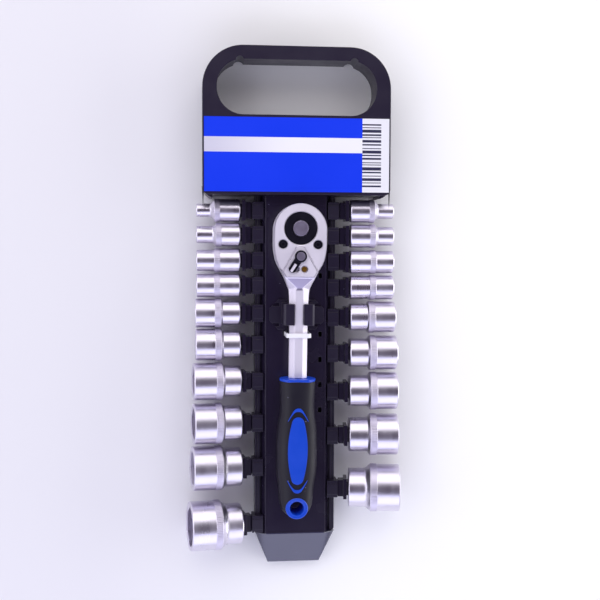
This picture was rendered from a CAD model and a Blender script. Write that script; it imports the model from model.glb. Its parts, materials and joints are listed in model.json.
import json
import math

import bmesh
import bpy
from bpy.props import FloatProperty, FloatVectorProperty, PointerProperty
from mathutils import Matrix, Vector


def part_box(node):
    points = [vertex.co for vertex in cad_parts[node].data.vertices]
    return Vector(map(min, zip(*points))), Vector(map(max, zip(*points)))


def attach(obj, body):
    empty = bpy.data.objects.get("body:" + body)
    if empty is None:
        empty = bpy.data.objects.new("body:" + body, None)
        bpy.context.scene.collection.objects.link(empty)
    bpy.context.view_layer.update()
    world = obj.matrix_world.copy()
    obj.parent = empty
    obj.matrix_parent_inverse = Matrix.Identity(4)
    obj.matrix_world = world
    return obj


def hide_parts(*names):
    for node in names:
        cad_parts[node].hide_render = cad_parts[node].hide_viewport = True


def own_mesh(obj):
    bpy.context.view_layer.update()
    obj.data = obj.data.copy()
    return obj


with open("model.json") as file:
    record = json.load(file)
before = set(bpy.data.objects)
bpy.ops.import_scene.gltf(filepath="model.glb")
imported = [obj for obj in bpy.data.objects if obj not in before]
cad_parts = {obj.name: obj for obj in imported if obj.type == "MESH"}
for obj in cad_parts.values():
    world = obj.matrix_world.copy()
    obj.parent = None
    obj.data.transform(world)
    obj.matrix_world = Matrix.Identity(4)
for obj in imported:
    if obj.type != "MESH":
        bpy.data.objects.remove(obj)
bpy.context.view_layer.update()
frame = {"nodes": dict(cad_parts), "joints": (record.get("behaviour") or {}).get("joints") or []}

bl_info = {
    "name": "Socket wrench set on a hanging rack",
    "version": (1, 0, 0),
    "blender": (4, 5, 0),
    "location": "3D View > Sidebar > Socket set",
    "description": "Builds the finished look of a ratchet and nineteen sockets on a plastic rack",
    "category": "Object",
}

MM = 0.001


# ---- Shared helpers ----

def linear(code):
    """An sRGB hex colour as linear red, green, blue."""
    parts = [int(code[i:i + 2], 16) / 255 for i in (0, 2, 4)]
    return tuple(c / 12.92 if c <= 0.04045 else ((c + 0.055) / 1.055) ** 2.4 for c in parts)


def rgba(colour, gain=1.0):
    return tuple(min(1.0, c * gain) for c in colour[:3]) + (1.0,)


def low(node):
    return Vector(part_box(node)[0])


def high(node):
    return Vector(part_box(node)[1])


def middle(node):
    return (low(node) + high(node)) / 2


def settings():
    return bpy.context.scene.socket_set


def finish_mesh(bm, name, material, body, nodes=(), sharp=math.radians(32), weighted=True):
    """Turns a bmesh into a piece that rides on a body and stands for its CAD nodes."""
    bm.normal_update()
    for face in bm.faces:
        face.smooth = True
    for edge in bm.edges:
        if len(edge.link_faces) == 2:
            edge.smooth = edge.calc_face_angle(0.0) < sharp
    mesh = bpy.data.meshes.new(name)
    bm.to_mesh(mesh)
    bm.free()
    for entry in material if isinstance(material, (list, tuple)) else [material]:
        mesh.materials.append(entry)
    piece = bpy.data.objects.new(name, mesh)
    bpy.context.scene.collection.objects.link(piece)
    if weighted:
        modifier = piece.modifiers.new("weighted normals", "WEIGHTED_NORMAL")
        modifier.keep_sharp = True
    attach(piece, body)
    if nodes:
        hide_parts(*nodes)
    return piece


def merged_copy(node, whole=True):
    """The CAD node's mesh, merged and, if asked, with its flat faces whole again."""
    bm = bmesh.new()
    bm.from_mesh(frame["nodes"][node].data)
    bmesh.ops.remove_doubles(bm, verts=bm.verts, dist=0.002 * MM)
    if whole:
        bmesh.ops.dissolve_limit(bm, angle_limit=math.radians(0.4), verts=bm.verts, edges=bm.edges)
    return bm


def ease(bm, width, segments=2, least=math.radians(28), keep=None):
    """Rounds every sharp edge of a bmesh, apart from those that keep() picks out."""
    edges = []
    for edge in bm.edges:
        if len(edge.link_faces) != 2 or edge.calc_face_angle(0.0) < least:
            continue
        if keep and keep(edge):
            continue
        edges.append(edge)
    bmesh.ops.bevel(bm, geom=edges, offset=width * MM, offset_type="OFFSET", segments=segments, profile=0.5,
                    affect="EDGES", clamp_overlap=False, material=-1)
    return bm


def tube(bm, rings):
    """Joins a row of closed rings of vertices, end to end, and closes both ends."""
    for a, b in zip(rings, rings[1:]):
        edges = [e for ring in (a, b) for v in ring for e in v.link_edges if e.other_vert(v) in ring]
        bmesh.ops.bridge_loops(bm, edges=list(dict.fromkeys(edges)))


# ---- Finishes ----

def add(tree, kind, values=None, **attributes):
    """Adds a node, sets its attributes, and sets or links its inputs."""
    node = tree.nodes.new(kind)
    for name, value in attributes.items():
        setattr(node, name, value)
    for key, value in (values or {}).items():
        if isinstance(value, bpy.types.NodeSocket):
            tree.links.new(value, node.inputs[key])
        else:
            node.inputs[key].default_value = value
    return node


def surface(name, colour, roughness, metallic=0.0, ior=1.5, coat=0.0, coat_roughness=0.1, grain=0.4, depth=0.004,
            patch=14.0, rough_swing=0.05, shade_swing=0.06, stretch=(1, 1, 1), fleck=None, fleck_size=7.0,
            fleck_amount=0.06):
    """One procedural surface: soft colour and gloss patches, fine grain, and a few flecks of dust.

    Grain, patch, depth and fleck_size are in mm; the swings are how far gloss and shade wander.
    """
    known = bpy.data.materials.get(name)
    if known:
        return known
    material = bpy.data.materials.new(name)
    material.use_nodes = True
    tree = material.node_tree
    tree.nodes.clear()
    output = add(tree, "ShaderNodeOutputMaterial")
    place = add(tree, "ShaderNodeTexCoord")
    turned = add(tree, "ShaderNodeMapping", {"Vector": place.outputs["Object"], "Scale": stretch})
    patches = add(tree, "ShaderNodeTexNoise", {"Vector": turned.outputs["Vector"], "Scale": 1 / (patch * MM),
                                               "Detail": 3.0, "Roughness": 0.55})
    fine = add(tree, "ShaderNodeTexNoise", {"Vector": turned.outputs["Vector"], "Scale": 1 / (grain * MM),
                                            "Detail": 2.0, "Roughness": 0.6})
    gloss = add(tree, "ShaderNodeMapRange", {"Value": patches.outputs["Fac"], "From Min": 0.3, "From Max": 0.7,
                                             "To Min": max(0.02, roughness - rough_swing),
                                             "To Max": roughness + rough_swing})
    tint = add(tree, "ShaderNodeMix", {"Factor": patches.outputs["Fac"], 6: rgba(colour, 1 - shade_swing),
                                       7: rgba(colour, 1 + shade_swing)}, data_type="RGBA")
    shown = tint.outputs[2]
    if fleck:
        cells = add(tree, "ShaderNodeTexVoronoi", {"Vector": place.outputs["Object"],
                                                   "Scale": 1 / (fleck_size * MM), "Randomness": 1.0})
        dots = add(tree, "ShaderNodeMath", {0: cells.outputs["Distance"], 1: fleck_amount}, operation="LESS_THAN")
        dusted = add(tree, "ShaderNodeMix", {"Factor": dots.outputs[0], 6: shown, 7: rgba(fleck)}, data_type="RGBA")
        shown = dusted.outputs[2]
    bump = add(tree, "ShaderNodeBump", {"Height": fine.outputs["Fac"], "Strength": 1.0, "Distance": depth * MM})
    shader = add(tree, "ShaderNodeBsdfPrincipled", {"Base Color": shown, "Roughness": gloss.outputs["Result"],
                                                    "Normal": bump.outputs["Normal"], "Metallic": metallic,
                                                    "IOR": ior, "Coat Weight": coat,
                                                    "Coat Roughness": coat_roughness})
    tree.links.new(shader.outputs["BSDF"], output.inputs["Surface"])
    return material


def abs_black():
    # Injection-moulded black ABS: a near-black with a violet cast, satin gloss and fine spark-eroded grain.
    return surface("abs_black_moulded", settings().colours.rack, 0.34, grain=0.7, depth=0.006, patch=18,
                   fleck=linear("8C89A6"), fleck_size=9.0, fleck_amount=0.035)


def abs_black_gloss():
    # The same ABS off a polished tool face: smoother, so it mirrors the lights in one clean patch.
    return surface("abs_black_polished", settings().colours.rack, 0.24, grain=1.2, depth=0.003, patch=25,
                   fleck=linear("8C89A6"), fleck_size=8.0, fleck_amount=0.03)


def abs_end_cap():
    # The sloping end, the most highly polished part of the tool: it takes a bluish sheen from the light below.
    return surface("abs_black_mirror_polished", linear("28274A"), 0.2, coat=1.0, coat_roughness=0.15, grain=1.2,
                   depth=0.002, patch=25, fleck=linear("8C89A6"), fleck_size=8.0, fleck_amount=0.03)


def vinyl_blue():
    # Blue offset ink on vinyl film: strong colour under an even satin laminate.
    return surface("vinyl_printed_blue", settings().colours.label_blue, 0.45, ior=1.4, grain=0.9, depth=0.001,
                   patch=40, shade_swing=0.03, rough_swing=0.03)


def vinyl_white():
    # Unprinted white vinyl: matt and very even.
    return surface("vinyl_plain_white", linear("EDEDF4"), 0.5, grain=0.8, depth=0.001, patch=30,
                   shade_swing=0.015)


def ink_dark():
    # Dark printed ink: flat and slightly bronzed.
    return surface("ink_printed_dark", linear("2B2A4A"), 0.45, grain=0.8, depth=0.001, patch=8, shade_swing=0.1)


def nylon_natural():
    # Extruded natural nylon: milky white with a soft gloss.
    return surface("nylon_natural_moulded", linear("F4F4FA"), 0.36, grain=0.9, depth=0.003, patch=6,
                   shade_swing=0.03)


def steel_satin():
    # Drop-forged steel, satin chrome plated: bright, soft-edged reflections and faint polishing marks.
    return surface("chrome_satin_plated", settings().colours.chrome, 0.62, metallic=1.0, grain=0.35, depth=0.0008,
                   patch=9, rough_swing=0.04, shade_swing=0.03, stretch=(1.0, 0.25, 1.0))


def steel_turned():
    # Faced steel under a thin plate: greyer and duller than the forging round it.
    return surface("steel_faced_grey", linear("A9A1BA"), 0.42, metallic=1.0, grain=0.4, depth=0.001, patch=4,
                   shade_swing=0.06)


def chrome_turned():
    # Turned and tumbled sockets, pearl chrome plated: fine rings round the axis under a soft mirror.
    return surface("chrome_pearl_turned", settings().colours.socket, 0.31, metallic=1.0, grain=0.5, depth=0.0012,
                   patch=7, rough_swing=0.05, shade_swing=0.03, stretch=(1.0, 0.12, 0.12))


def steel_black():
    # Black oxide on turned steel: dark blue-black with a dull shine.
    return surface("steel_black_oxide", linear("2A2836"), 0.36, metallic=0.85, grain=0.5, depth=0.002, patch=5,
                   shade_swing=0.12)


def steel_grey():
    # Hardened and oiled gear steel: mid grey, slightly uneven.
    return surface("steel_oiled_grey", linear("8A8994"), 0.38, metallic=1.0, grain=0.5, depth=0.002, patch=5,
                   shade_swing=0.1)


def brass():
    # Turned brass: warm yellow that has dulled a little.
    return surface("brass_turned", linear("B98A3C"), 0.34, metallic=1.0, grain=0.4, depth=0.002, patch=3,
                   shade_swing=0.12)


def rubber_black():
    # Moulded thermoplastic rubber: black with a soft sheen and fine grain.
    return surface("rubber_black_moulded", settings().colours.grip, 0.45, ior=1.4, grain=0.6, depth=0.006, patch=12,
                   fleck=linear("7F7C98"), fleck_size=8.0, fleck_amount=0.04)


def plastic_blue():
    # Moulded blue polypropylene let into the grip: saturated, with a satin shine.
    return surface("polypropylene_blue_moulded", settings().colours.grip_blue, 0.36, grain=0.6, depth=0.004,
                   patch=10, shade_swing=0.08)


def chrome_knurled():
    # The rolled grip bands: the same plate broken up by fine ridges, so it reads lighter and duller.
    return surface("chrome_knurled_band", linear("D3CDDE"), 0.5, metallic=1.0, grain=0.5, depth=0.002, patch=5,
                   shade_swing=0.05)


PRINT_GRAIN = 900.0   # grain cells in a metre of ink or paper


def graded(name, first, last, start, end, roughness, metallic=0.0):
    """A plain surface that fades from one colour to another along X, in mm."""
    material = bpy.data.materials.new(name)
    material.use_nodes = True
    tree = material.node_tree
    tree.nodes.clear()
    output = add(tree, "ShaderNodeOutputMaterial")
    place = add(tree, "ShaderNodeTexCoord")
    split = add(tree, "ShaderNodeSeparateXYZ", {"Vector": place.outputs["Object"]})
    share = add(tree, "ShaderNodeMapRange", {"Value": split.outputs["X"], "From Min": start * MM,
                                             "From Max": end * MM}, interpolation_type="SMOOTHSTEP")
    fine = add(tree, "ShaderNodeTexNoise", {"Vector": place.outputs["Object"], "Scale": PRINT_GRAIN, "Detail": 2.0})
    tint = add(tree, "ShaderNodeMix", {"Factor": share.outputs["Result"], 6: rgba(linear(first)),
                                       7: rgba(linear(last))}, data_type="RGBA")
    bump = add(tree, "ShaderNodeBump", {"Height": fine.outputs["Fac"], "Strength": 1.0, "Distance": 0.001 * MM})
    shader = add(tree, "ShaderNodeBsdfPrincipled", {"Base Color": tint.outputs[2], "Roughness": roughness,
                                                    "Normal": bump.outputs["Normal"], "Metallic": metallic})
    tree.links.new(shader.outputs["BSDF"], output.inputs["Surface"])
    return material


def foil_silver():
    # Silver ink that fades from grey-violet at its left to near white.
    return graded("ink_silver_graded", "CFCDE0", "F4F3F8", -70, 0, 0.5)


def paper_white():
    # Seamless white background paper: matt, a touch greyer towards its left.
    return graded("paper_white_sheet", "EAE9EE", "FFFFFF", -150, 60, 0.9)


# ---- Sizes and colours ----

class SocketSetColours(bpy.types.PropertyGroup):
    """Colours of the visible finishes."""
    rack: FloatVectorProperty(name="Rack plastic", description="Colour of the black mouldings",
                              subtype="COLOR", size=3, min=0, max=1, default=linear("211B2F"))
    label_blue: FloatVectorProperty(name="Label blue", description="Colour of the printed card",
                                    subtype="COLOR", size=3, min=0, max=1, default=linear("0036EA"))
    chrome: FloatVectorProperty(name="Ratchet chrome", description="Colour of the ratchet's plating",
                                subtype="COLOR", size=3, min=0, max=1, default=linear("EDE8F4"))
    socket: FloatVectorProperty(name="Socket chrome", description="Colour of the sockets' plating",
                                subtype="COLOR", size=3, min=0, max=1, default=linear("DDD8E6"))
    grip: FloatVectorProperty(name="Grip rubber", description="Colour of the black grip",
                              subtype="COLOR", size=3, min=0, max=1, default=linear("14111F"))
    grip_blue: FloatVectorProperty(name="Grip blue", description="Colour of the blue parts of the grip",
                                   subtype="COLOR", size=3, min=0, max=1, default=linear("0B45C8"))


class SocketSetSizes(bpy.types.PropertyGroup):
    """Sizes of the fine shapes, in millimetres."""
    moulded_edge: FloatProperty(name="Moulded edge", description="Radius on the edges of the mouldings, mm",
                                default=0.45, min=0.1, max=1.0)
    forged_edge: FloatProperty(name="Forged edge", description="Radius on the edges of the ratchet's steel, mm",
                               default=0.55, min=0.1, max=1.2)
    knurl_pitch: FloatProperty(name="Knurl pitch", description="Distance between two ridges of a band, mm",
                               default=1.1, min=0.5, max=2.0)
    knurl_depth: FloatProperty(name="Knurl depth", description="Height of a ridge above its groove, mm",
                               default=0.14, min=0.05, max=0.5)
    grip_crown: FloatProperty(name="Grip crown", description="Roundness of the grip's section, 2 is an ellipse",
                              default=2.5, min=2.0, max=6.0)


class SocketSetStage(bpy.types.PropertyGroup):
    """Floor, lights and camera."""
    floor_size: FloatProperty(name="Floor", description="Width of the floor", default=6.0, min=1.0, unit="LENGTH")
    lens: FloatProperty(name="Lens", description="Focal length on a 36 mm sensor, mm", default=59.54, min=20)
    side_power: FloatProperty(name="Side light", description="Power of each long soft light, watts", default=8.5)
    sky: FloatProperty(name="Surroundings", description="Brightness of the surroundings", default=0.74, min=0.0)
    left_power: FloatProperty(name="Left light", description="Power of the soft light at the left, watts",
                              default=4.5)
    right_power: FloatProperty(name="Right light", description="Power of the low white light at the right, watts",
                               default=8.0)


class SocketSetSettings(bpy.types.PropertyGroup):
    """Everything that can be set for the socket wrench set."""
    colours: PointerProperty(type=SocketSetColours)
    sizes: PointerProperty(type=SocketSetSizes)
    stage: PointerProperty(type=SocketSetStage)


# ---- Stage ----

class SOCKETSET_OT_stage(bpy.types.Operator):
    """Sets the camera, the pale floor and the soft lights"""
    bl_idname = "socketset.stage"
    bl_label = "Stage"

    def soft_light(self, name, place, aim, width, height, power, colour):
        data = bpy.data.lights.new(name, "AREA")
        data.shape = "RECTANGLE"
        data.size = width
        data.size_y = height
        data.energy = power
        data.color = linear(colour)
        light = bpy.data.objects.new(name, data)
        bpy.context.scene.collection.objects.link(light)
        light.location = place
        light.rotation_euler = (Vector(aim) - Vector(place)).to_track_quat("-Z", "Y").to_euler()

    def execute(self, context):
        stage = settings().stage
        scene = context.scene
        camera = bpy.data.objects.new("camera", bpy.data.cameras.new("camera"))
        scene.collection.objects.link(camera)
        camera.data.sensor_width = 36.0
        camera.data.lens = stage.lens
        camera.data.clip_start = 0.05
        facing = (Matrix.Rotation(-0.0030719, 3, "Z") @ Matrix.Rotation(0.0529291, 3, "X")
                  @ Matrix.Rotation(0.1027136, 3, "Y"))
        camera.matrix_world = Matrix.Translation((-0.067516, 0.04433, 0.705104)) @ facing.transposed().to_4x4()
        scene.camera = camera

        bm = bmesh.new()
        bmesh.ops.create_grid(bm, x_segments=1, y_segments=1, size=stage.floor_size / 2)
        mesh = bpy.data.meshes.new("floor")
        bm.to_mesh(mesh)
        bm.free()
        mesh.materials.append(paper_white())
        floor = bpy.data.objects.new("floor", mesh)
        scene.collection.objects.link(floor)
        floor.location.z = -0.0002

        world = bpy.data.worlds.new("studio")
        world.use_nodes = True
        # Dark straight above, bright towards the horizon, so that round chrome shows a dark line along its top.
        tree = world.node_tree
        place = add(tree, "ShaderNodeTexCoord")
        split = add(tree, "ShaderNodeSeparateXYZ", {"Vector": place.outputs["Generated"]})
        share = add(tree, "ShaderNodeMapRange", {"Value": split.outputs["Z"], "From Min": 0.77, "From Max": 0.96},
                    interpolation_type="SMOOTHSTEP")
        sky = add(tree, "ShaderNodeMix", {"Factor": share.outputs["Result"], 6: rgba(linear("EFEEF4")),
                                          7: rgba(linear("4A3B52"))}, data_type="RGBA")
        tree.links.new(sky.outputs[2], tree.nodes["Background"].inputs["Color"])
        tree.nodes["Background"].inputs["Strength"].default_value = stage.sky
        scene.world = world
        scene.view_settings.view_transform = "Standard"

        power = stage.side_power
        self.soft_light("light_head", (-0.1, 1.05, 0.75), (0, 0.05, 0), 1.9, 1.25, power, "FFFBFC")
        self.soft_light("light_foot", (-0.1, -1.05, 0.75), (0, -0.05, 0), 1.9, 1.25, power * 1.05, "DADDFF")
        self.soft_light("light_left", (-1.15, 0.1, 0.85), (0, 0, 0), 1.4, 0.8, stage.left_power, "F4F2FF")
        self.soft_light("light_right", (1.3, 0, 0.35), (0, 0, 0.02), 1.6, 0.6, stage.right_power, "FFFFFF")
        return {"FINISHED"}


# ---- Rack ----

class SOCKETSET_OT_mouldings(bpy.types.Operator):
    """Makes the spine, handle, end cap, rails, stud holders and clip with eased edges"""
    bl_idname = "socketset.mouldings"
    bl_label = "Rack mouldings"

    PANEL_WIDTH = 42.1   # flat top of the spine, mm

    def execute(self, context):
        edge = settings().sizes.moulded_edge
        rows = [("spine", "spine_moulding", 0.3, abs_black_gloss), ("handle", "handle_moulding", edge, abs_black),
                ("end_cap", "end_cap_moulding", edge, abs_end_cap),
                ("rail_left", "rail_moulding_left", 0.2, abs_black),
                ("rail_right", "rail_moulding_right", 0.2, abs_black),
                ("studs_left", "stud_holders_left", 0.3, abs_black_gloss),
                ("studs_right", "stud_holders_right", 0.3, abs_black_gloss),
                ("clip", "clip_moulding", 0.3, abs_black), ("clip_lips", "clip_lip_pair", 0.3, abs_black)]
        for node, name, width, finish in rows:
            bm = ease(merged_copy(node), width)
            finish_mesh(bm, name, finish(), "rack", [node])
        self.border()
        return {"FINISHED"}

    def border(self):
        """The fine raised line round the panel."""
        lo, hi = low("spine"), high("spine")
        side = (self.PANEL_WIDTH / 2 - 1.0) * MM
        top, foot = hi.y - 6.5 * MM, lo.y + 0.8 * MM
        corner, wide, slope = 2.6 * MM, 0.35 * MM, 0.08 * MM
        root, crest = hi.z - 0.05 * MM, hi.z + 0.12 * MM
        steps = 8
        bm = bmesh.new()
        rings = []
        for inset, z in ((0, root), (slope, crest), (wide - slope, crest), (wide, root)):
            ring = []
            for quarter, (cx, cy) in enumerate(((1, 1), (-1, 1), (-1, -1), (1, -1))):
                centre_y = top - corner if cy > 0 else foot + corner
                for step in range(steps + 1):
                    turn = math.radians(90 * quarter + step * 90 / steps)
                    ring.append(bm.verts.new((cx * (side - corner) + (corner - inset) * math.cos(turn),
                                              centre_y + (corner - inset) * math.sin(turn), z)))
            rings.append(ring)
        count = len(rings[0])
        for a, b in zip(rings, rings[1:] + rings[:1]):
            for i in range(count):
                bm.faces.new((a[i], a[(i + 1) % count], b[(i + 1) % count], b[i]))
        bmesh.ops.recalc_face_normals(bm, faces=bm.faces)
        finish_mesh(bm, "panel_border_line", abs_black_gloss(), "rack")


class SOCKETSET_OT_tie(bpy.types.Operator):
    """Makes the white tie round the shank"""
    bl_idname = "socketset.tie"
    bl_label = "Cable tie"

    def execute(self, context):
        bm = ease(merged_copy("cable_tie"), 0.35)
        finish_mesh(bm, "cable_tie_band", nylon_natural(), "rack", ["cable_tie"])
        return {"FINISHED"}


class SOCKETSET_OT_label(bpy.types.Operator):
    """Makes the printed card, its silver band and the white block with bars"""
    bl_idname = "socketset.label"
    bl_label = "Label"

    def execute(self, context):
        for node, name, finish, slot in (("label_card", "label_blue_card", vinyl_blue, "label_blue"),
                                         ("label_band", "label_silver_band", foil_silver, "label_silver")):
            finish_mesh(merged_copy(node), name, finish(), "rack", [node])
        lo, hi = low("label_code"), high("label_code")
        bm = bmesh.new()
        # Bar widths in parts of the block's height, gap and bar in turn.
        turns = [5, 1.6, 2, 0.8, 1.4, 2.6, 1.6, 0.8, 2.2, 1.4, 1.2, 3, 1.8, 0.8, 1.2, 0.8, 2.4, 1.8, 1.6, 1.2,
                 1.2, 2.8, 1.4, 0.8, 2.4, 1.4, 1.4, 2.4, 1.8, 0.8, 1.2, 1.6, 1.4, 2.8, 1.4, 0.8, 1.6, 1.4, 5]
        unit = (hi.y - lo.y) / sum(turns)
        split_x = lo.x + 0.70 * (hi.x - lo.x)
        bmesh.ops.create_cube(bm, size=1.0)
        bmesh.ops.scale(bm, vec=hi - lo, verts=bm.verts)
        bmesh.ops.translate(bm, vec=(lo + hi) / 2, verts=bm.verts)
        y = lo.y
        cuts = []
        for turn in turns[:-1]:
            y += turn * unit
            cuts.append(y)
        for cut in cuts:
            bmesh.ops.bisect_plane(bm, geom=bm.verts[:] + bm.edges[:] + bm.faces[:], plane_co=(0, cut, 0),
                                   plane_no=(0, 1, 0))
        bmesh.ops.bisect_plane(bm, geom=bm.verts[:] + bm.edges[:] + bm.faces[:], plane_co=(split_x, 0, 0),
                               plane_no=(1, 0, 0))
        bm.normal_update()
        for face in bm.faces:
            centre = face.calc_center_median()
            band = sum(1 for cut in cuts if centre.y > cut)
            if face.normal.z > 0.5 and band % 2 == 1 and centre.x < split_x:
                face.material_index = 1
        finish_mesh(bm, "label_bar_block", [vinyl_white(), ink_dark()], "rack", ["label_code"])
        return {"FINISHED"}


# ---- Ratchet ----

class SOCKETSET_OT_ratchet(bpy.types.Operator):
    """Makes the ratchet's steel: forging, cover, screws, lever, disc, button and drive"""
    bl_idname = "socketset.ratchet"
    bl_label = "Ratchet steel"

    def second_finish(self, bm, node):
        """Gives some faces of a piece the second of its finishes, and returns that finish in a list."""
        if node == "selector_lever":
            # The ridge along the lever is worn bright.
            ridge = high(node).z - 0.6 * MM
            chosen, finish = [f for f in bm.faces if f.calc_center_median().z > ridge], steel_satin()
        elif node == "cover_plate":
            # Polished edges.
            chosen, finish = [f for f in bm.faces if 0.15 < f.normal.z < 0.97], chrome_turned()
        elif node == "ratchet_forging":
            # The slope below the face is left as forged.
            chosen = [f for f in bm.faces if f.normal.y < -0.3 and f.normal.z > 0.5 and abs(f.normal.x) < 0.2]
            finish = steel_turned()
        else:
            return []
        for face in chosen:
            face.material_index = 1
        return [finish]

    def execute(self, context):
        edge = settings().sizes.forged_edge
        rows = [("ratchet_forging", "ratchet_forging_steel", edge, steel_satin, "ratchet", "ratchet_steel"),
                ("cover_plate", "head_cover_steel", 0.55, steel_satin, "ratchet", "ratchet_steel"),
                ("cover_screws", "head_screws_steel", 0.2, steel_black, "ratchet", "black_steel"),
                ("detent_ball", "detent_brass_ball", 0.3, brass, "ratchet", "detent_brass"),
                ("selector_lever", "selector_lever_steel", 0.3, steel_black, "selector", "black_steel"),
                ("lever_cap", "selector_cap_steel", 0.3, steel_turned, "selector", "ratchet_steel"),
                ("drive_disc", "drive_disc_steel", 0.25, steel_black, "drive", "black_steel"),
                ("square_drive", "square_drive_steel", 0.2, steel_satin, "drive", "ratchet_steel"),
                ("release_button", "release_button_steel", 0.5, steel_turned, "button", "ratchet_steel")]
        for node, name, width, finish, body, slot in rows:
            # The cover's face has several holes, so it keeps its triangles.
            bm = ease(merged_copy(node, whole=node != "cover_plate"), width)
            bm.normal_update()
            second = self.second_finish(bm, node)
            finish_mesh(bm, name, [finish()] + second, body, [node])
        for node in ("pawl", "drive_gear", "lock_ball"):
            frame["nodes"][node].material_slots[0].material = steel_grey()
        # The spring under the button shortens by the button's travel and a little more.
        spring = finish_mesh(merged_copy("release_spring", whole=False), "release_spring_steel", steel_grey(),
                             "drive", ["release_spring"], weighted=False)
        foot = middle("release_spring")
        foot.z = low("release_spring").z
        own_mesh(spring)
        return {"FINISHED"}


class SOCKETSET_OT_grip(bpy.types.Operator):
    """Makes the rounded grip with its collar, inlay, bows and lined hang hole"""
    bl_idname = "socketset.grip"
    bl_label = "Grip"

    OVAL = 1.06   # width of the lining's outside over its length
    # Distance below the grip's top and half width, mm.
    OUTLINE = [(1.9, 12.1), (3.5, 12.3), (8, 12.1), (14, 11.8), (20, 11.7), (24, 11.95), (28, 12.6), (32, 13.3),
               (37, 13.7), (44, 13.9), (52, 14.0), (60, 14.0), (66, 13.6), (71, 12.7), (75, 12.1), (79, 11.9),
               (83, 11.7), (87, 11.1), (89.5, 10.2), (91.5, 9.0), (93.2, 7.3), (94.6, 5.2), (95.5, 3.2),
               (95.9, 1.6)]

    def execute(self, context):
        crown = settings().sizes.grip_crown
        along = middle("grip_ring") - middle("grip_collar")
        along.z = 0
        along.normalize()
        top = middle("grip_collar") - along * MM
        turn = Matrix.Rotation(math.atan2(along.x, -along.y), 4, "Z")
        half_t = (high("grip_body").z - low("grip_body").z) / 2
        bm = bmesh.new()
        rings = []
        for down, half_w in self.OUTLINE:
            half_w = half_w * MM
            thick = min(half_t, half_w * 0.93)
            ring = bmesh.ops.create_circle(bm, cap_ends=False, segments=72, radius=1.0)["verts"]
            for v in ring:
                c, s = v.co.x, v.co.y
                v.co.x = math.copysign(abs(c) ** (2 / crown), c) * half_w
                v.co.z = math.copysign(abs(s) ** (2 / crown), s) * thick
                v.co.y = -down * MM
            rings.append(ring)
        tube(bm, rings)
        for ring in (rings[0], rings[-1]):
            bmesh.ops.contextual_create(bm, geom=ring)
        bmesh.ops.recalc_face_normals(bm, faces=bm.faces)
        bmesh.ops.transform(bm, matrix=Matrix.Translation(top) @ turn, verts=bm.verts)
        piece = finish_mesh(bm, "grip_rubber_body", rubber_black(), "ratchet", ["grip_body"],
                            weighted=False)
        self.bore(piece, middle("grip_ring"), (high("grip_ring").x - low("grip_ring").x) / 2)
        for node, name, width in (("grip_collar", "grip_blue_collar", 0.6), ("grip_inlay", "grip_blue_inlay", 0.22),
                                  ("grip_crescents", "grip_blue_bows", 0.12)):
            finish_mesh(ease(merged_copy(node), width), name, plastic_blue(), "ratchet", [node])
        self.lining()
        return {"FINISHED"}

    def bore(self, piece, centre, radius):
        """Cuts the hang hole through the grip."""
        bm = bmesh.new()
        bmesh.ops.create_cone(bm, cap_ends=True, segments=64, radius1=radius, radius2=radius, depth=0.08)
        bmesh.ops.scale(bm, vec=(self.OVAL, 1, 1), verts=bm.verts)
        bmesh.ops.translate(bm, vec=centre, verts=bm.verts)
        mesh = bpy.data.meshes.new("cutter")
        bm.to_mesh(mesh)
        bm.free()
        cutter = bpy.data.objects.new("cutter", mesh)
        bpy.context.scene.collection.objects.link(cutter)
        modifier = piece.modifiers.new("hang hole", "BOOLEAN")
        modifier.operation = "DIFFERENCE"
        modifier.solver = "EXACT"
        modifier.object = cutter
        seen = piece.evaluated_get(bpy.context.evaluated_depsgraph_get())
        result = bpy.data.meshes.new_from_object(seen)
        piece.modifiers.remove(modifier)
        old = piece.data
        piece.data = result
        result.name = piece.name
        bpy.data.meshes.remove(old)
        bpy.data.objects.remove(cutter)

    def lining(self):
        """The oval blue lining of the hang hole, flared at both faces."""
        lo, hi = low("grip_ring"), high("grip_ring")
        centre = (lo + hi) / 2
        outer = (hi.x - lo.x) / 2 / MM
        inner = outer - 2.6
        half = (hi.z - lo.z) / 2 / MM
        section = [(inner, -half + 1.2), (inner + 0.35, -half + 0.35), (inner + 1.0, -half), (outer - 0.4, -half),
                   (outer, -half + 0.4), (outer, half - 0.4), (outer - 0.4, half), (inner + 1.0, half),
                   (inner + 0.35, half - 0.35), (inner, half - 1.2)]
        bm = bmesh.new()
        verts = [bm.verts.new((r * MM, 0, z * MM)) for r, z in section]
        edges = [bm.edges.new((a, b)) for a, b in zip(verts, verts[1:] + verts[:1])]
        bmesh.ops.spin(bm, geom=verts + edges, cent=(0, 0, 0), axis=(0, 0, 1), dvec=(0, 0, 0),
                       angle=2 * math.pi, steps=72, use_merge=True, use_duplicate=False)
        for v in bm.verts:
            share = (v.co.xy.length / MM - inner) / (outer - inner)
            v.co.x *= 1 + (self.OVAL - 1) * share
        bmesh.ops.recalc_face_normals(bm, faces=bm.faces)
        bmesh.ops.translate(bm, vec=centre, verts=bm.verts)
        finish_mesh(bm, "grip_blue_lining", plastic_blue(), "ratchet", ["grip_ring"])


# ---- Sockets ----

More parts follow.
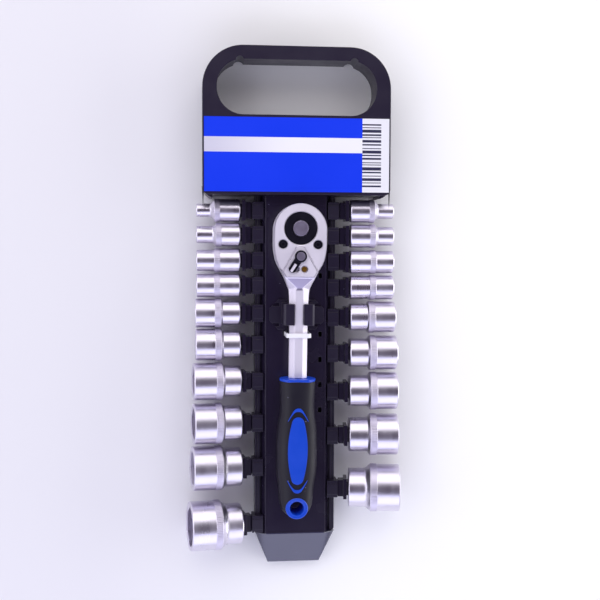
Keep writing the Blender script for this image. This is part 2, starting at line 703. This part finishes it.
class SOCKETSET_OT_sockets(bpy.types.Operator):
    """Makes the nineteen sockets with their knurled bands, square drives and hexagon mouths"""
    bl_idname = "socketset.sockets"
    bl_label = "Sockets"

    # Size: nose and drive diameters, length, length of the drive part and of the cone in mm, and the angle from
    # the rack's long axis to a corner of the mouth, degrees.
    TABLE = {6: (9.2, 15.6, 30.2, 13.9, 3.4, 10), 7: (10.6, 15.8, 30.8, 13.2, 3.2, 25),
             8: (12, 16.2, 30.2, 12.8, 2.8, 40), 9: (13.2, 16.2, 30.8, 13.8, 2.2, 5),
             10: (14.8, 16.2, 30.2, 13.8, 0.8, 50), 11: (15.8, 16.2, 30.8, 14.2, 0.6, 20),
             12: (16.2, 16.2, 30.2, 13.8, 0.6, 35), 13: (17, 16.2, 30.8, 14, 0.6, 15),
             14: (20, 16.8, 31, 11.8, 1.4, 30), 15: (21.8, 19, 32, 11.8, 1.4, 45),
             16: (22, 19, 31, 11.5, 1.6, 48), 17: (24, 20, 33.5, 12.4, 1.8, 8),
             18: (25.8, 21.6, 32.8, 11, 2, 18), 19: (26.2, 21.8, 34, 12.6, 2.2, 52),
             20: (28, 24.2, 33, 11.6, 2, 13), 21: (29, 24.2, 34.5, 12.6, 2.2, 33),
             22: (30.6, 26.8, 33.8, 10.4, 3.4, 41), 23: (33, 27.2, 36, 10.9, 4.4, 22),
             24: (34, 28.2, 35.8, 10, 4.8, 0)}
    SQUARE = 9.65
    SQUARE_DEPTH = 11.5
    RIM = 0.7
    SKIN = 0.45   # faces farther out than this share of the diameter are on the outside
    BORE = 2.4   # radius between the square and the hexagon

    def profile(self, size):
        """Closed half section: place along the axis, radius, and how that ring is shaped."""
        nose, drive, length, drive_len, cone = self.TABLE[size][:5]
        rn, rd = nose / 2, drive / 2
        proud = max(rn, rd) + 0.13
        wide = rn > rd + 0.5
        x1 = drive_len + (cone if wide else 0)
        x2 = x1 + 3.8 + 0.06 * (size - 6)
        rim = self.RIM
        corner = (size + 0.2) / 2 / math.cos(math.radians(30))
        deep = length - (8 + 0.35 * (size - 6))
        rows = [(0, rd - rim, "round"), (0.12, rd - rim + 0.3, "round"), (rim - 0.15, rd - 0.12, "round"),
                (rim + 0.2, rd, "round")]
        if wide:
            # A concave neck that sweeps up to the band.
            rows += [(drive_len - 0.6, rd, "round")]
            steps = 5
            for i in range(1, steps + 1):
                t = i / steps
                flare = 1 - math.cos(t * math.pi / 2)
                rows.append((drive_len + (cone - 0.2) * t, rd + (proud - 0.14 - rd) * flare, "round"))
        else:
            rows += [(x1 - 0.25, rd, "round")]
        rows += [(x1 + 0.02, proud - 0.13, "round"), (x1 + 0.25, proud, "knurl"), (x2 - 0.25, proud, "knurl"),
                 (x2 - 0.02, proud - 0.13, "round")]
        if wide or cone < 1:
            rows += [(x2 + 0.15, rn, "round")]
        else:
            steps = 4
            for i in range(1, steps + 1):
                t = i / steps
                rows.append((x2 + cone * t, proud - 0.2 + (rn - proud + 0.2) * math.sin(t * math.pi / 2), "round"))
        rows += [(length - rim - 0.2, rn, "round"), (length - rim + 0.15, rn - 0.12, "round"),
                 (length - 0.12, rn - rim + 0.3, "round"), (length, rn - rim, "round"),
                 (length, min(corner + 0.25, rn - rim - 0.15), "round"), (length - 0.5, corner, "hexagon"),
                 (deep, corner, "hexagon"), (deep - 0.1, self.BORE, "round"),
                 (self.SQUARE_DEPTH + 0.1, self.BORE, "round"),
                 (self.SQUARE_DEPTH, self.SQUARE, "square"), (0.5, self.SQUARE, "square"),
                 (0, self.SQUARE + 0.5, "square")]
        return rows

    def execute(self, context):
        for size in self.TABLE:
            self.socket(size)
        return {"FINISHED"}

    def socket(self, size):
        sizes = settings().sizes
        name = f"socket_{size:02d}"
        widest = max(self.TABLE[size][:2])
        ridges = max(12, round(math.pi * widest / sizes.knurl_pitch / 12) * 12)
        steps = 2 * ridges
        rows = self.profile(size)
        corner = math.radians(90 + self.TABLE[size][5]) * (1 if size % 2 else -1)
        bm = bmesh.new()
        verts = [bm.verts.new((x * MM, 0, 0.5 * r * MM if kind == "square" else r * MM)) for x, r, kind in rows]
        shape = {}
        for v, (x, r, kind) in zip(verts, rows):
            shape[(round(v.co.x, 7), round(v.co.z, 7))] = (kind, r)
        edges = [bm.edges.new((a, b)) for a, b in zip(verts, verts[1:] + verts[:1])]
        bmesh.ops.spin(bm, geom=verts + edges, cent=(0, 0, 0), axis=(1, 0, 0), dvec=(0, 0, 0),
                       angle=2 * math.pi, steps=steps, use_merge=True, use_duplicate=False)
        for v in bm.verts:
            radius = math.hypot(v.co.y, v.co.z)
            turn = math.atan2(v.co.y, v.co.z)
            kind, r = shape.get((round(v.co.x, 7), round(radius, 7)), ("round", None))
            if kind == "round":
                continue
            if kind == "knurl":
                column = round(turn / (2 * math.pi) * steps)
                wanted = radius + (0.5 if column % 2 else -0.5) * sizes.knurl_depth * MM
            elif kind == "hexagon":
                off = ((turn - corner) % math.radians(60)) - math.radians(30)
                wanted = r * MM * math.cos(math.radians(30)) / math.cos(off)
            else:
                off = ((turn + math.radians(45)) % math.radians(90)) - math.radians(45)
                wanted = r / 2 * MM / math.cos(off)
            v.co.y *= wanted / radius
            v.co.z *= wanted / radius
        bmesh.ops.recalc_face_normals(bm, faces=bm.faces)
        first, last = (x for x, r, kind in rows if kind == "knurl")
        for face in bm.faces:
            x = face.calc_center_median().x / MM
            if first < x < last and face.calc_center_median().yz.length > self.SKIN * widest * MM:
                face.material_index = 1
        bmesh.ops.transform(bm, matrix=self.seat(size), verts=bm.verts)
        finish_mesh(bm, name + "_chrome", [chrome_turned(), chrome_knurled()], name, [name],
                    sharp=math.radians(26))

    def seat(self, size):
        """Where the socket sits: its drive end at the stud, its axis along the joint that pulls it off."""
        node = f"socket_{size:02d}"
        axis = next(Vector(j["axis"]) for j in frame["joints"] if j["name"] == f"pull_{size:02d}").normalized()
        points = [v.co for v in frame["nodes"][node].data.vertices]
        start = min(p.dot(axis) for p in points)
        side = Vector((0, 1, 0))
        up = axis.cross(side) if axis.x > 0 else side.cross(axis)
        if up.z < 0:
            up = -up
        rise = [p.dot(up) for p in points]
        across = [p.y for p in points]
        origin = (axis * start + up * (min(rise) + max(rise)) / 2
                  + side * (min(across) + max(across)) / 2)
        turn = Matrix((axis, up.cross(axis), up)).transposed()
        return Matrix.Translation(origin) @ turn.to_4x4()


# ---- Panel and start ----

class SOCKETSET_PT_panel(bpy.types.Panel):
    """Lists the steps that build the set"""
    bl_idname = "SOCKETSET_PT_panel"
    bl_label = "Socket wrench set"
    bl_space_type = "VIEW_3D"
    bl_region_type = "UI"
    bl_category = "Socket set"

    def draw(self, context):
        chosen = settings()
        for group in (chosen.colours, chosen.sizes, chosen.stage):
            box = self.layout.box()
            for name in group.__annotations__:
                box.prop(group, name)
        for step in STEPS:
            self.layout.operator(step.bl_idname)


STEPS = (SOCKETSET_OT_stage, SOCKETSET_OT_mouldings, SOCKETSET_OT_tie, SOCKETSET_OT_label, SOCKETSET_OT_ratchet,
         SOCKETSET_OT_grip, SOCKETSET_OT_sockets)
CLASSES = (SocketSetColours, SocketSetSizes, SocketSetStage, SocketSetSettings) + STEPS + (SOCKETSET_PT_panel,)


def register():
    for item in CLASSES:
        bpy.utils.register_class(item)
    bpy.types.Scene.socket_set = PointerProperty(type=SocketSetSettings)


def unregister():
    del bpy.types.Scene.socket_set
    for item in reversed(CLASSES):
        bpy.utils.unregister_class(item)


def clear_defaults():
    """Removes the objects that a new file starts with."""
    for name in ("Cube", "Light", "Camera"):
        known = bpy.data.objects.get(name)
        if known:
            bpy.data.objects.remove(known)


def main():
    clear_defaults()
    register()
    for step in STEPS:
        group, name = step.bl_idname.split(".")
        getattr(getattr(bpy.ops, group), name)()
    bpy.context.view_layer.update()


if __name__ == "__main__":
    main()
